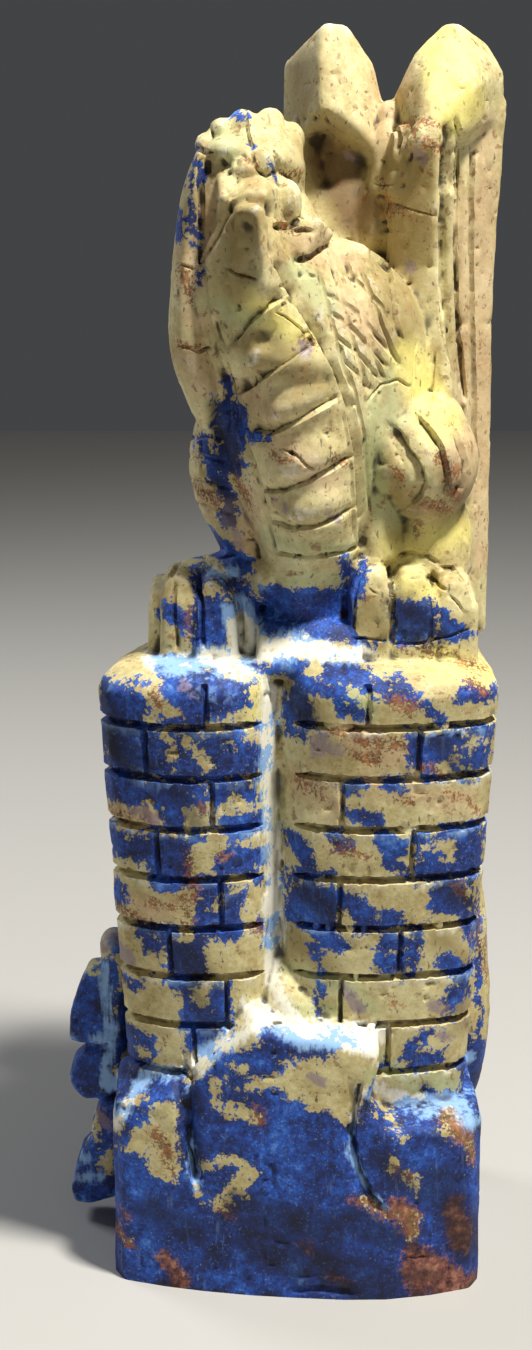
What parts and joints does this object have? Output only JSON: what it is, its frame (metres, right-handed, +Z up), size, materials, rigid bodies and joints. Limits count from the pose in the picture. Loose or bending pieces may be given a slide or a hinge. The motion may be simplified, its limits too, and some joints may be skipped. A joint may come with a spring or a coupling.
{
  "type": "azurite dragon carving",
  "caption": "Carved stone dragon with raised wings, perched on a bowed brick tower that grows out of rocks, its finned tail curled round the base.",
  "frame": {"origin": "middle of the base's flat underside, which rests on the table", "axes": "+Z up, +X to the right as seen from the front, +Y away from the viewer: the dragon's belly and the brick lobes face -Y"},
  "size_m": [0.0705, 0.0575, 0.1936],
  "materials": {
    "azurite_stone": "honed stone, deep blue azurite in a tan and pale green matrix, with rust brown spots"
  },
  "bodies": {
    "root": {"azurite_dragon_carving": "azurite_stone"}
  },
  "joints": []
}
